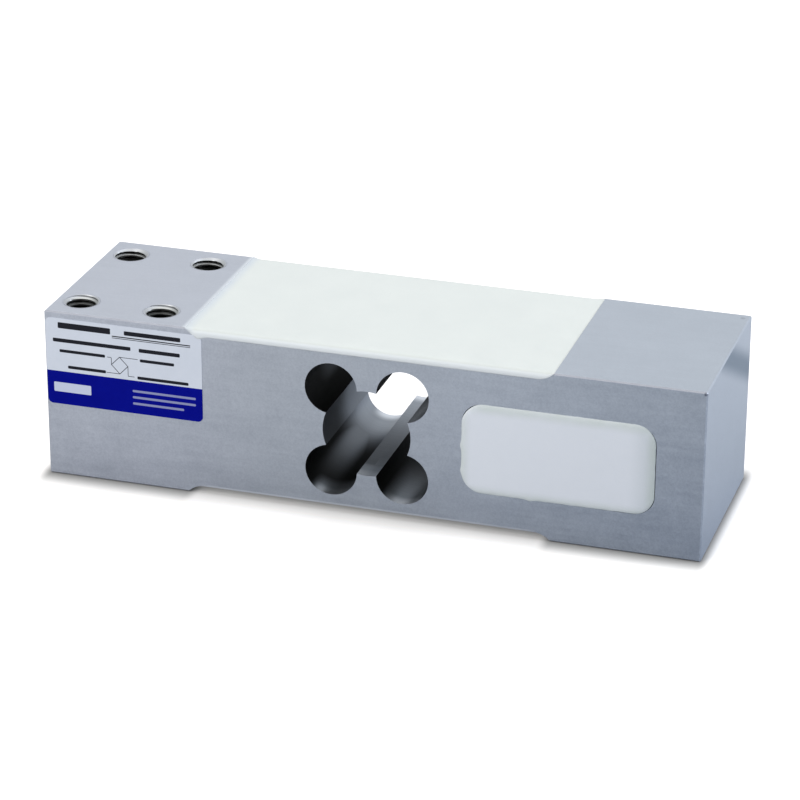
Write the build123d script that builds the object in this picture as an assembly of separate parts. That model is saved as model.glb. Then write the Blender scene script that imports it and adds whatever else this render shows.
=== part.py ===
from build123d import *
import os
from math import radians, sqrt, tan

# Single point load cell: one aluminium block with a clover of through bores that makes
# two thin webs at the top and two at the underside. A strain gauge sits on each web, in
# a shallow recess sealed with white silicone. The leads run through drilled channels to a
# small compensation board in a sealed side pocket, where the cable inlet comes in.
# The origin is the centre of the underside. X runs from the load end to the fixed end,
# Y from the label's face to the rear face, Z up.

# Block
block_length = 150.0
block_width = 45.0
block_height = 39.5
edge_break = 0.3

# Clover of through bores
centre_bore_radius = 10.05
lobe_radius = 5.95
lobe_offset_x = 8.15
web_thickness = 2.35

# Gauge recesses, one in the top face and one in the underside
recess_end_distance = 33.25
recess_depth = 1.75
recess_end_radius = 5.0

# Side pocket at the fixed end
pocket_wall = 7.4
pocket_end_distance = 10.5
pocket_height = 21.0
pocket_depth = 2.6
pocket_corner_radius = 4.75

# Tapped holes: M8, bored to the thread's major diameter
thread_diameter = 8.0
thread_depth = 15.0
tap_drill_diameter = 6.8
tap_drill_depth = 18.0
tap_drill_tip_angle = 118.0
mouth_bevel = 0.25
bolt_pitch_x = 19.0
bolt_pitch_y = 30.0
bolt_end_distance = 6.0

# Cable inlet in the rear face
cable_hole_diameter = 5.6
cable_channel_diameter = 6.2
grommet_diameter = 9.0
grommet_seat_depth = 5.0
grommet_lip_diameter = 11.0
grommet_lip_height = 0.8
grommet_rim_round = 0.5

# Silicone sealant
top_fill_drop = 0.05
bottom_fill_thickness = 0.8
fill_edge_round = 0.6
pocket_crown = 0.25
pocket_crown_round = 0.2

# Label film on the front face
label_length = 36.8
label_height = 20.6
label_thickness = 0.1
label_corner_radius = 1.2
label_end_distance = 0.3
label_top_distance = 1.5

# Foil strain gauge
carrier_length = 7.6
carrier_width = 5.6
carrier_thickness = 0.1
carrier_corner_radius = 0.4
carrier_end_margin = 0.6
foil_thickness = 0.05
strand_count = 8
strand_length = 4.0
strand_width = 0.22
strand_pitch = 0.4
tab_length = 1.6
tab_width = 1.7
tab_gap = 0.8

# Solder terminal strip between the two gauges of a recess
terminal_length = 5.2
terminal_width = 6.0
terminal_pad_length = 2.0
terminal_pad_width = 1.6
terminal_pad_offset_x = 1.3
terminal_pad_offset_y = 1.35

# Flat copper jumpers from gauge tab to terminal
jumper_width = 0.5
jumper_thickness = 0.1
jumper_overlap = 0.6

# Insulated leads from the terminals to the board
lead_diameter = 0.3
lead_lift = 0.08
lead_bend_radius = 0.5
lead_pitch = 0.5
lane_distance = 5.0
lane_pitch = 0.8
solder_height = 0.55
solder_radius = 0.6
solder_margin = 0.1

# Drilled channel from each recess to the pocket
channel_diameter = 1.8
channel_inset = 4.5
channel_top_setback = 8.0
channel_rise = 8.25
channel_overrun = 1.2

# Compensation board
board_length = 21.0
board_height = 15.5
board_thickness = 0.8
board_corner_radius = 0.8
board_pad_length = 1.6
board_pad_height = 1.3
board_pad_inset = 1.8
lead_drop = 0.9
lead_pad_pitch = 1.6
cable_pad_count = 5
cable_pad_pitch = 2.4

# Chip resistors on the board
chip_length = 3.2
chip_width = 1.6
chip_height = 0.55
chip_cap_length = 0.5
chip_cap_extra = 0.05
chip_pad_length = 1.2
chip_pad_width = 1.8
chip_column_offset = 2.6
chip_row_offset = 4.4

# How far a cutter runs past the surface that it opens
overshoot = 1.0

# Levels and places that follow from the sizes above
mid_height = block_height / 2
front_y = -block_width / 2
rear_y = block_width / 2
deck_z = block_height - recess_depth
recess_length = block_length - 2 * recess_end_distance
lobe_offset_z = mid_height - recess_depth - web_thickness - lobe_radius
pocket_start_x = lobe_offset_x + lobe_radius + pocket_wall
pocket_end_x = block_length / 2 - pocket_end_distance
pocket_length = pocket_end_x - pocket_start_x
pocket_centre_x = (pocket_start_x + pocket_end_x) / 2
pad_top = carrier_thickness + foil_thickness
lead_level = pad_top + lead_lift + lead_diameter / 2
terminal_solder_x = terminal_pad_offset_x - terminal_pad_length / 2 + solder_margin + solder_radius
bolt_centre_x = block_length / 2 - bolt_end_distance - bolt_pitch_x / 2
pocket_floor_y = front_y + pocket_depth
board_face_y = pocket_floor_y - board_thickness
board_pad_face_y = board_face_y - foil_thickness
board_lead_y = board_pad_face_y - lead_lift - lead_diameter / 2
channel_x = pocket_start_x + channel_inset
channel_top_y = front_y + channel_top_setback
channel_end_z = mid_height + channel_rise
channel_slope = (deck_z - channel_end_z) / (channel_top_y - pocket_floor_y)
lead_pad_x = pocket_centre_x - board_length / 2 + board_pad_inset
cable_pad_x = pocket_centre_x + board_length / 2 - board_pad_inset
mirror_plane = Plane.XY.offset(mid_height)


def on_deck(shape):
    # A shape drawn on the floor of a recess goes to the floor of the top one.
    return Pos(0, 0, deck_z) * shape


def lower(shape):
    # The lower gauges and leads mirror the upper ones about mid height.
    return mirror(shape, about=mirror_plane)


def across(sketch, width):
    # A profile drawn in X and Z becomes a bar across the block.
    return extrude(Plane.XZ * sketch, width / 2, both=True)


def recess_profile(height):
    # The floor meets the face in an arc at each end, as the milling cutter leaves it.
    run = sqrt(2 * recess_end_radius * recess_depth - recess_depth**2)
    half_floor = recess_length / 2 - run
    profile = Pos(0, recess_depth / 2) * Rectangle(2 * half_floor, recess_depth)
    slab = Pos(0, recess_depth / 2) * Rectangle(recess_length, recess_depth)
    for side in (-1, 1):
        profile += Pos(side * half_floor, recess_end_radius) * Circle(recess_end_radius) & slab
    if height > recess_depth:
        opening = height - recess_depth
        return profile + Pos(0, recess_depth + opening / 2) * Rectangle(recess_length, opening)
    return profile & Pos(0, height / 2) * Rectangle(recess_length, height)


def recess_cutter():
    return on_deck(across(recess_profile(recess_depth + overshoot), block_width + 2 * overshoot))


def clover_cutter():
    clover = Circle(centre_bore_radius)
    for lobe in GridLocations(2 * lobe_offset_x, 2 * lobe_offset_z, 2, 2):
        clover += lobe * Circle(lobe_radius)
    return Pos(0, 0, mid_height) * across(clover, block_width + 2 * overshoot)


def pocket_outline():
    return RectangleRounded(pocket_length, pocket_height, pocket_corner_radius)


def on_front(y):
    # A plane parallel to the front face, centred on the pocket, that faces forwards.
    return Plane(origin=(pocket_centre_x, y, mid_height), x_dir=(1, 0, 0), z_dir=(0, -1, 0))


def pocket_cutter():
    return extrude(on_front(pocket_floor_y) * pocket_outline(), pocket_depth + overshoot)


def tapped_hole_cutter():
    # Mouth at z = 0, hole downwards: bevel, thread length, run-out, drill and drill point.
    bore = thread_diameter / 2
    drill = tap_drill_diameter / 2
    runout = bore - drill
    tip = drill / tan(radians(tap_drill_tip_angle / 2))
    outline = Polyline(
        (0, overshoot),
        (bore + mouth_bevel + overshoot, overshoot),
        (bore, -mouth_bevel),
        (bore, -thread_depth),
        (drill, -thread_depth - runout),
        (drill, -tap_drill_depth),
        (0, -tap_drill_depth - tip),
        close=True,
    )
    return revolve(Plane.XZ * make_face(outline), Axis.Z)


def load_end_hole_cutters():
    cutters = []
    for place in GridLocations(bolt_pitch_x, bolt_pitch_y, 2, 2):
        cutters.append(Pos(-bolt_centre_x, 0, block_height) * place * tapped_hole_cutter())
    return cutters


def fixed_end_hole_cutters():
    cutters = []
    for place in GridLocations(bolt_pitch_x, bolt_pitch_y, 2, 2):
        cutters.append(Pos(bolt_centre_x, 0, 0) * place * Rot(180, 0, 0) * tapped_hole_cutter())
    return cutters


def cable_plane(y):
    # Across the cable's axis, facing the rear.
    return Plane(origin=(bolt_centre_x, y, mid_height), x_dir=(-1, 0, 0), z_dir=(0, 1, 0))


def cable_channel_cutter():
    channel_start = pocket_floor_y - overshoot
    channel_section = cable_plane(channel_start) * Circle(cable_channel_diameter / 2)
    channel = extrude(channel_section, rear_y - channel_start)
    seat_section = cable_plane(rear_y - grommet_seat_depth) * Circle(grommet_diameter / 2)
    seat = extrude(seat_section, grommet_seat_depth + overshoot)
    return channel + seat


def channel_point(y):
    # The point of the sloping channel's axis at this distance across the block.
    return Vector(channel_x, y, deck_z - (channel_top_y - y) * channel_slope)


def wire_channel_cutter():
    # Drilled from the recess, aslant, out through the pocket's floor.
    top = channel_point(channel_top_y)
    end = channel_point(pocket_floor_y)
    direction = (end - top).normalized()
    start = top - direction * channel_overrun
    length = (end - top).length + 2 * channel_overrun
    return extrude(Plane(origin=start, z_dir=direction) * Circle(channel_diameter / 2), length)


def standing_box(length, width, height):
    # A box that stands on the plane Z = 0, centred on the origin.
    return Box(length, width, height, align=(Align.CENTER, Align.CENTER, Align.MIN))


def flexure_block():
    block = standing_box(block_length, block_width, block_height)
    block = chamfer(block.edges(), edge_break)
    block -= recess_cutter()
    block -= lower(recess_cutter())
    block -= clover_cutter()
    block -= pocket_cutter()
    block -= load_end_hole_cutters()
    block -= fixed_end_hole_cutters()
    block -= cable_channel_cutter()
    block -= wire_channel_cutter()
    block -= lower(wire_channel_cutter())
    return block


def gauge_carrier():
    # The film that carries the foil. Its grid's centre is the origin, its tabs point to -X.
    outline = RectangleRounded(carrier_length, carrier_width, carrier_corner_radius)
    centre_x = strand_length / 2 + carrier_end_margin - carrier_length / 2
    return Pos(centre_x, 0) * extrude(outline, carrier_thickness)


def gauge_foil():
    # One strand of foil runs to and fro along the block and ends in two solder tabs.
    first_y = -(strand_count - 1) * strand_pitch / 2
    half = strand_length / 2
    foil = Sketch()
    for strand in range(strand_count):
        foil += Pos(0, first_y + strand * strand_pitch) * Rectangle(strand_length, strand_width)
    for turn in range(strand_count - 1):
        end = half if turn % 2 == 0 else -half
        turn_x = end - strand_width / 2 if turn % 2 == 0 else end + strand_width / 2
        turn_y = first_y + (turn + 0.5) * strand_pitch
        foil += Pos(turn_x, turn_y) * Rectangle(strand_width, strand_pitch + strand_width)
    for side in (-1, 1):
        lead_in = Rectangle(tab_gap + strand_width, strand_width)
        foil += Pos(-half - tab_gap / 2, side * first_y) * lead_in
        tab = Rectangle(tab_length, tab_width)
        foil += Pos(-half - tab_gap - tab_length / 2, side * terminal_pad_offset_y) * tab
    return Pos(0, 0, carrier_thickness) * extrude(foil, foil_thickness)


def at_load_web(shape):
    return on_deck(Pos(-lobe_offset_x, 0, 0) * Rot(0, 0, 180) * shape)


def at_fixed_web(shape):
    return on_deck(Pos(lobe_offset_x, 0, 0) * shape)


def terminal_strip():
    return on_deck(extrude(Rectangle(terminal_length, terminal_width), carrier_thickness))


def terminal_pads():
    # Two single pads, and one double pad where the two gauges join.
    pad = Rectangle(terminal_pad_length, terminal_pad_width)
    pads = Sketch()
    for side in (-1, 1):
        pads += Pos(side * terminal_pad_offset_x, -terminal_pad_offset_y) * pad
    joined_length = 2 * terminal_pad_offset_x + terminal_pad_length
    pads += Pos(0, terminal_pad_offset_y) * Rectangle(joined_length, terminal_pad_width)
    return on_deck(Pos(0, 0, carrier_thickness) * extrude(pads, foil_thickness))


def jumper_ribbons():
    # Flat ribbons that lie on the tab at one end and on the terminal at the other.
    start = terminal_solder_x + solder_radius + solder_margin
    tab_end = lobe_offset_x - strand_length / 2 - tab_gap - tab_length
    length = tab_end + jumper_overlap - start
    ribbons = []
    for side_x in (-1, 1):
        for side_y in (-1, 1):
            ribbon = standing_box(length, jumper_width, jumper_thickness)
            place = Pos(side_x * (start + length / 2), side_y * terminal_pad_offset_y, pad_top)
            ribbons.append(on_deck(place * ribbon))
    return Compound(children=ribbons)


def lead_ends():
    # For each lead: its terminal pad, its lane along the recess and its place in the channel.
    x = terminal_solder_x
    y = terminal_pad_offset_y
    return [
        ((-x, -y), -lane_distance - lane_pitch, -1),
        ((x, -y), -lane_distance, 0),
        ((x, y), lane_distance, 1),
    ]


def lead_pad_z(place):
    # The outermost lead in the channel turns off last, so the three never cross.
    leaving = channel_point(board_lead_y).Z
    return leaving - lead_drop - (1 - place) * lead_pad_pitch


def lead_path(pad, lane_y, place):
    level = deck_z + lead_level
    x = channel_x + place * lead_pitch
    mouth_y = channel_top_y + lead_level / channel_slope
    leaving_z = channel_point(board_lead_y).Z
    pad_z = lead_pad_z(place)
    return FilletPolyline(
        (pad[0], pad[1], level),
        (pad[0], lane_y, level),
        (x, lane_y, level),
        (x, mouth_y, level),
        (x, board_lead_y, leaving_z),
        (x, board_lead_y, pad_z),
        (lead_pad_x, board_lead_y, pad_z),
        radius=lead_bend_radius,
    )


def lead_wires():
    wires = []
    for pad, lane_y, place in lead_ends():
        path = lead_path(pad, lane_y, place)
        section = Plane(origin=path @ 0, z_dir=path % 0) * Circle(lead_diameter / 2)
        wires.append(sweep(section, path=path))
    return Compound(children=wires)


def solder_mound(plane):
    ball_radius = (solder_radius**2 + solder_height**2) / (2 * solder_height)
    ball = Pos(0, 0, solder_height - ball_radius) * Sphere(ball_radius)
    room = standing_box(4 * solder_radius, 4 * solder_radius, solder_height)
    return plane * (ball & room)


def terminal_solder(wires):
    mounds = []
    for pad, lane_y, place in lead_ends():
        plane = Plane(origin=(pad[0], pad[1], deck_z + pad_top), z_dir=(0, 0, 1))
        mounds.append(solder_mound(plane) - wires)
    return Compound(children=mounds)


def board_solder(wires):
    mounds = []
    for pad, lane_y, place in lead_ends():
        plane = Plane(origin=(lead_pad_x, board_pad_face_y, lead_pad_z(place)), z_dir=(0, -1, 0))
        mounds.append(solder_mound(plane) - wires)
    return Compound(children=mounds)


def compensation_board():
    outline = RectangleRounded(board_length, board_height, board_corner_radius)
    return extrude(on_front(pocket_floor_y) * outline, board_thickness)


def chip_places():
    # Names and places of the bridge's trimming resistors, from the board's centre.
    return {
        "span_resistor_upper": (-chip_column_offset, chip_row_offset),
        "span_resistor_lower": (-chip_column_offset, -chip_row_offset),
        "span_temperature_resistor": (chip_column_offset, chip_row_offset),
        "zero_temperature_resistor": (chip_column_offset, -chip_row_offset),
        "zero_balance_resistor": (0, 0),
    }


def chip_resistor(place):
    # A ceramic body with a wrapped cap at each end, which sits on two pads.
    body_width = chip_width - 2 * chip_cap_extra
    body_height = chip_height - 2 * chip_cap_extra
    chip = extrude(Pos(place) * Rectangle(chip_length - chip_cap_length, body_width), body_height)
    chip = Pos(0, 0, chip_cap_extra) * chip
    for side in (-1, 1):
        cap_x = place[0] + side * (chip_length - chip_cap_length) / 2
        chip += extrude(Pos(cap_x, place[1]) * Rectangle(chip_cap_length, chip_width), chip_height)
    return on_front(board_pad_face_y) * chip


def board_pads():
    # Pads for the leads at one end, for the cable's wires at the other, and for the chips.
    pad_shape = Rectangle(board_pad_length, board_pad_height)
    pads = Sketch()
    for pad, lane_y, place in lead_ends():
        for side in (-1, 1):
            height = side * (lead_pad_z(place) - mid_height)
            pads += Pos(lead_pad_x - pocket_centre_x, height) * pad_shape
    for place in GridLocations(0, cable_pad_pitch, 1, cable_pad_count):
        pads += Pos(cable_pad_x - pocket_centre_x, 0) * place * pad_shape
    for x, y in chip_places().values():
        for side in (-1, 1):
            pad_x = x + side * (chip_length - chip_cap_length) / 2
            pads += Pos(pad_x, y) * Rectangle(chip_pad_length, chip_pad_width)
    return extrude(on_front(board_face_y) * pads, foil_thickness)


def recess_sealant(thickness, embedded):
    # It fills the recess to this thickness, with rounded long edges, round all that lies in it.
    bar = on_deck(across(recess_profile(thickness), block_width))
    section = Pos(0, thickness / 2) * Rectangle(block_width, thickness)
    outer = section.vertices().group_by(Axis.Y)[-1]
    section = fillet(outer, fill_edge_round)
    rounded = extrude(Plane.YZ * section, recess_length / 2, both=True)
    sealant = bar & on_deck(rounded)
    for piece in embedded:
        sealant -= piece
    return sealant


def pocket_sealant(embedded):
    # It fills the pocket and stands a little proud of the front face, with a rounded rim.
    sealant = extrude(on_front(pocket_floor_y) * pocket_outline(), pocket_depth + pocket_crown)
    rim = sealant.faces().sort_by(Axis.Y)[0].edges()
    sealant = fillet(rim, pocket_crown_round)
    for piece in embedded:
        sealant -= piece
    return sealant


def identification_label():
    outline = RectangleRounded(label_length, label_height, label_corner_radius)
    centre_x = -block_length / 2 + label_end_distance + label_length / 2
    centre_z = block_height - label_top_distance - label_height / 2
    plane = Plane(origin=(centre_x, front_y, centre_z), x_dir=(1, 0, 0), z_dir=(0, -1, 0))
    return extrude(plane * outline, label_thickness)


def cable_grommet():
    # A rubber sleeve in a counterbore, with a rounded lip on the rear face.
    inner = cable_plane(rear_y - grommet_seat_depth)
    sleeve = extrude(inner * Circle(grommet_diameter / 2), grommet_seat_depth)
    lip = extrude(cable_plane(rear_y) * Circle(grommet_lip_diameter / 2), grommet_lip_height)
    lip = fillet(lip.faces().sort_by(Axis.Y)[-1].edges(), grommet_rim_round)
    hole_length = grommet_seat_depth + grommet_lip_height
    return sleeve + lip - extrude(inner * Circle(cable_hole_diameter / 2), hole_length)


def build_parts():
    leads = lead_wires()
    on_top_deck = {
        "gauge_carrier_{}_load": at_load_web(gauge_carrier()),
        "gauge_carrier_{}_fixed": at_fixed_web(gauge_carrier()),
        "gauge_foil_{}_load": at_load_web(gauge_foil()),
        "gauge_foil_{}_fixed": at_fixed_web(gauge_foil()),
        "terminal_strip_{}": terminal_strip(),
        "terminal_pads_{}": terminal_pads(),
        "jumper_ribbons_{}": jumper_ribbons(),
        "lead_wires_{}": leads,
        "terminal_solder_{}": terminal_solder(leads),
    }
    upper_parts = {name.format("upper"): shape for name, shape in on_top_deck.items()}
    lower_parts = {name.format("lower"): lower(shape) for name, shape in on_top_deck.items()}
    board_parts = {
        "compensation_board": compensation_board(),
        "board_pads": board_pads(),
        "board_solder_upper": board_solder(leads),
        "board_solder_lower": lower(board_solder(leads)),
    }
    for name, place in chip_places().items():
        board_parts[name] = chip_resistor(place)
    bottom_fill = recess_sealant(bottom_fill_thickness, on_top_deck.values())
    in_pocket = [*board_parts.values(), leads, lower(leads)]
    parts = {
        "flexure_block": flexure_block(),
        "top_sealant": recess_sealant(recess_depth - top_fill_drop, on_top_deck.values()),
        "bottom_sealant": lower(bottom_fill),
        "pocket_sealant": pocket_sealant(in_pocket),
        "identification_label": identification_label(),
        "cable_grommet": cable_grommet(),
    }
    parts.update(upper_parts)
    parts.update(lower_parts)
    parts.update(board_parts)
    return parts


os.makedirs("parts", exist_ok=True)
for node, shape in build_parts().items():
    export_step(shape, f"parts/{node}.step")
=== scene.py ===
# %% [markdown]
# A single point load cell: one machined aluminium block, 150 mm long. A clover of bores
# leaves four thin webs, gauges are glued to the webs, and white silicone seals them in.
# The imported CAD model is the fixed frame. This lesson dresses it, one finish at a time:
# a piece whose CAD shape is right keeps it and gets a material, and a soft piece, such as
# the silicone, is sculpted anew on the same spot.

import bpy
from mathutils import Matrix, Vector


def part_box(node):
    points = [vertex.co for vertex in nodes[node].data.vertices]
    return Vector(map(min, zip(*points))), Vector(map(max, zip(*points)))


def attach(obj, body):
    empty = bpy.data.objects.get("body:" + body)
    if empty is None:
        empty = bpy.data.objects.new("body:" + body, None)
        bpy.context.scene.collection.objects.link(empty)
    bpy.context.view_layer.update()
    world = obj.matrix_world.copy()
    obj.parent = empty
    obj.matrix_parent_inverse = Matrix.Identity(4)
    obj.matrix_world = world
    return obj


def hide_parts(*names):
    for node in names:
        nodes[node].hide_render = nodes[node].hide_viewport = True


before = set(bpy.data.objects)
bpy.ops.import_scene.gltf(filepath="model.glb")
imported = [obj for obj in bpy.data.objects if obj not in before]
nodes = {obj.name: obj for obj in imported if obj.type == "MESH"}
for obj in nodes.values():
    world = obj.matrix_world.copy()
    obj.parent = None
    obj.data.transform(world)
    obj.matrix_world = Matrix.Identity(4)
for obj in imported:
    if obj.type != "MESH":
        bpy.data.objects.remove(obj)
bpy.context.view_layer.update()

# %% [markdown]
# Everything is measured from the block. Its box comes from the frame, so no size is
# written twice. The maker thinks in millimetres and Blender in metres, so one factor
# stands between them.

# %% Sizes of the block
from math import cos, exp, hypot, pi, radians, sin, sqrt

import bpy
from mathutils import Matrix, Vector, noise

MM = 0.001
block_low, block_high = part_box("flexure_block")
HALF_LENGTH = block_high.x
HALF_WIDTH = block_high.y
HEIGHT = block_high.z
MID_HEIGHT = HEIGHT / 2
FRONT_Y = -HALF_WIDTH
print("block in mm:", [round(side / MM, 2) for side in (2 * HALF_LENGTH, 2 * HALF_WIDTH, HEIGHT)])

# %% [markdown]
# The camera. Seven corners of the block, the cusps of the clover and the four holes were
# matched with the photograph, and the numbers below are the result: a long lens from the
# front right, a little above, turned a quarter of a degree. A camera matrix is three
# directions, right, up and backwards, so they are worked out and stood side by side.

# %% Camera
CAMERA_AZIMUTH = radians(17.183)
CAMERA_ELEVATION = radians(23.702)
CAMERA_ROLL = radians(0.253)
CAMERA_PLACE = Vector((0.20031, -0.64566, 0.31523))
LENS = 148.6


def aim_camera(name):
    flat = cos(CAMERA_ELEVATION)
    backwards = Vector((sin(CAMERA_AZIMUTH) * flat, -cos(CAMERA_AZIMUTH) * flat, sin(CAMERA_ELEVATION)))
    level_right = Vector((cos(CAMERA_AZIMUTH), sin(CAMERA_AZIMUTH), 0))
    level_up = backwards.cross(level_right)
    right = level_right * cos(CAMERA_ROLL) + level_up * sin(CAMERA_ROLL)
    up = level_up * cos(CAMERA_ROLL) - level_right * sin(CAMERA_ROLL)
    data = bpy.data.cameras.new(name)
    data.lens = LENS
    data.sensor_width = 36
    data.clip_start = 0.01
    camera = bpy.data.objects.new(name, data)
    turn = Matrix((right, up, backwards)).transposed().to_4x4()
    camera.matrix_world = Matrix.Translation(CAMERA_PLACE) @ turn
    bpy.context.scene.collection.objects.link(camera)
    bpy.context.scene.camera = camera
    return camera


camera = aim_camera("product_camera")
print("camera at", tuple(round(v, 3) for v in camera.location), "lens", LENS)

# %% [markdown]
# Materials are built from nodes, and the same few moves come back all the time: place a
# node, feed a socket with a wire or a plain value, do a sum, map a value to a soft step,
# blend two colours. Small helpers for these keep every later recipe short. A wire knows
# which tree it lies in, so most helpers find the tree from what they are given.

# %% Helpers: nodes and sums
from functools import partial, reduce


def place(tree, kind, **settings):
    node = tree.nodes.new(kind)
    for key, value in settings.items():
        setattr(node, key, value)
    return node


def tree_of(*sources):
    return next(source.id_data for source in sources if isinstance(source, bpy.types.NodeSocket))


def feed(socket, source):
    # A socket takes a wire from another socket, or a plain value.
    if isinstance(source, bpy.types.NodeSocket):
        socket.id_data.links.new(source, socket)
    elif source is not None:
        socket.default_value = source


def maths(operation, *sources, clamp=False):
    node = place(tree_of(*sources), "ShaderNodeMath", operation=operation, use_clamp=clamp)
    for socket, source in zip(node.inputs, sources):
        feed(socket, source)
    return node.outputs[0]


def plus(*sources):
    return reduce(partial(maths, "ADD"), sources)


def times(*sources):
    return reduce(partial(maths, "MULTIPLY"), sources)


def largest(*sources):
    return reduce(partial(maths, "MAXIMUM"), sources)


def minus(first, second):
    return maths("SUBTRACT", first, second)


def absolute(value):
    return maths("ABSOLUTE", value)


def is_below(value, limit):
    return maths("LESS_THAN", value, limit)


def is_above(value, limit):
    return maths("GREATER_THAN", value, limit)


print("sums ready")

# %% Helpers: steps, blends and noise


def soft_step(value, low, high):
    # 0 below low, 1 above high, and smooth between them. The two may be swapped.
    node = place(tree_of(value), "ShaderNodeMapRange", interpolation_type="SMOOTHSTEP")
    for label, source in (("Value", value), ("From Min", low), ("From Max", high)):
        feed(node.inputs[label], source)
    return node.outputs["Result"]


def scaled(value, low, high):
    # A mask from 0 to 1 becomes a value from low to high.
    node = place(tree_of(value), "ShaderNodeMapRange")
    for label, source in (("Value", value), ("To Min", low), ("To Max", high)):
        feed(node.inputs[label], source)
    return node.outputs["Result"]


def blend_values(mask, first, second):
    node = place(tree_of(mask), "ShaderNodeMix", data_type="FLOAT")
    for number, source in ((0, mask), (2, first), (3, second)):
        feed(node.inputs[number], source)
    return node.outputs[0]


def blend_colours(mask, first, second, mode="MIX"):
    node = place(tree_of(mask), "ShaderNodeMix", data_type="RGBA", blend_type=mode)
    for number, source in ((0, mask), (6, first), (7, second)):
        feed(node.inputs[number], source)
    return node.outputs[2]


def split(vector):
    parts = place(tree_of(vector), "ShaderNodeSeparateXYZ")
    feed(parts.inputs[0], vector)
    return parts.outputs


def stretched_noise(vector, scale, stretch=(1, 1, 1), detail=2.0):
    mapping = place(tree_of(vector), "ShaderNodeMapping")
    feed(mapping.inputs["Vector"], vector)
    feed(mapping.inputs["Scale"], stretch)
    texture = place(tree_of(vector), "ShaderNodeTexNoise")
    for label, source in (("Vector", mapping.outputs["Vector"]), ("Scale", scale), ("Detail", detail)):
        feed(texture.inputs[label], source)
    return texture.outputs["Fac"]


def rgb(red, green, blue):
    return (red, green, blue, 1.0)


print("node helpers ready")

# %% [markdown]
# A node group is a recipe with named inputs and outputs that any material can use. Each
# of the groups below is one effect of the workshop. They put out masks and heights only,
# and every material decides for itself what to do with them.

# %% A new node group


def new_group(name, outputs, **inputs):
    # An input with no start value is a vector, and any other one is a number. Blanks in a
    # socket's label are written as underscores here and in use_group.
    tree = bpy.data.node_groups.new(name, "ShaderNodeTree")
    for label, start in inputs.items():
        kind = "NodeSocketVector" if start is None else "NodeSocketFloat"
        socket = tree.interface.new_socket(label.replace("_", " "), in_out="INPUT", socket_type=kind)
        if start is not None:
            socket.default_value = start
    for label in outputs:
        tree.interface.new_socket(label, in_out="OUTPUT", socket_type="NodeSocketFloat")
    return tree, place(tree, "NodeGroupInput").outputs, place(tree, "NodeGroupOutput").inputs


def use_group(group, **values):
    node = place(tree_of(*values.values()), "ShaderNodeGroup", node_tree=group)
    for label, value in values.items():
        feed(node.inputs[label.replace("_", " ")], value)
    return node.outputs


def report(group):
    print("group", group.name, "has", len(group.nodes), "nodes")


print("groups can be made and used")

# %% [markdown]
# Cloudiness. No real surface has one even tone: hands, cleaning and casting leave soft
# clouds. Two noises of different size are mixed, because one alone looks like a pattern.

# %% Group: clouds
clouds, given, result = new_group("clouds", ["Tone"], Vector=None, Size=5 * MM, Contrast=0.6)
coarse_scale = maths("DIVIDE", 1.0, given["Size"])
coarse = stretched_noise(given["Vector"], coarse_scale, detail=3.0)
fine = stretched_noise(given["Vector"], times(coarse_scale, 4.3))
mixed = plus(times(coarse, 0.65), times(fine, 0.35))
spread = times(minus(mixed, 0.5), times(given["Contrast"], 4.0))
feed(result["Tone"], maths("ADD", spread, 0.5, clamp=True))
report(clouds)


def cloudiness(where, size, contrast):
    return use_group(clouds, Vector=where, Size=size, Contrast=contrast)["Tone"]


# %% [markdown]
# Milled grain. The cutter and the abrasive belt run along the block and leave streaks
# many times longer than they are wide. A noise that is squeezed across the block and left
# long along it gives exactly that, and a second, finer one breaks the streaks up.

# %% Group: milled grain
milled_grain, given, result = new_group("milled_grain", ["Height", "Tone"], Vector=None, Streak_Scale=900.0)
streaks = stretched_noise(given["Vector"], given["Streak Scale"], (0.06, 1, 1), detail=3.0)
hairs = stretched_noise(given["Vector"], times(given["Streak Scale"], 4.0), (0.03, 1, 1), detail=1.0)
grit = stretched_noise(given["Vector"], times(given["Streak Scale"], 2.2))
feed(result["Height"], plus(times(streaks, 0.5), times(hairs, 0.3), times(grit, 0.2)))
feed(result["Tone"], soft_step(plus(times(streaks, 0.6), times(grit, 0.4)), 0.3, 0.7))
report(milled_grain)

# %% [markdown]
# Turned rings. A drill, a reamer or a tap leaves rings round its own axis. They depend
# only on the depth along the axis, so one coordinate goes into a one-dimensional noise.

# %% Group: turned rings
turned_rings, given, result = new_group("turned_rings", ["Height"], Depth=0.0, Ring_Scale=2600.0)
ring_noise = place(turned_rings, "ShaderNodeTexNoise", noise_dimensions="1D")
for label, source in (("W", given["Depth"]), ("Scale", given["Ring Scale"]), ("Detail", 3.0)):
    feed(ring_noise.inputs[label], source)
feed(result["Height"], ring_noise.outputs["Fac"])
report(turned_rings)

# %% [markdown]
# Specks. Dust on silicone, pin holes in a print and pits in metal are all small dots with
# much empty space between them. Voronoi cells give the dots: where the distance to the
# cell's point is small, and the cell's own random value is high, there is a speck.

# %% Group: specks
specks, given, result = new_group("specks", ["Mask"], Vector=None, Spacing=2 * MM, Share=0.3, Radius=0.12)
cells = place(specks, "ShaderNodeTexVoronoi")
feed(cells.inputs["Vector"], given["Vector"])
feed(cells.inputs["Scale"], maths("DIVIDE", 1.0, given["Spacing"]))
chosen = place(specks, "ShaderNodeSeparateColor")
feed(chosen.inputs["Color"], cells.outputs["Color"])
kept = is_below(chosen.outputs["Red"], given["Share"])
size = times(chosen.outputs["Green"], given["Radius"])
dot = soft_step(cells.outputs["Distance"], size, times(size, 0.4))
feed(result["Mask"], times(dot, kept))
report(specks)

# %% [markdown]
# Rounded field. Print on a label, the rim of a pocket and the edge of a filled recess
# are all places near the outline of a rounded rectangle. The distance to such an outline
# is short to write: fold the plane into one quarter, take off the half sizes, add the
# corner radius. It is negative inside. The mask is the same distance with a soft edge.

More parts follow.
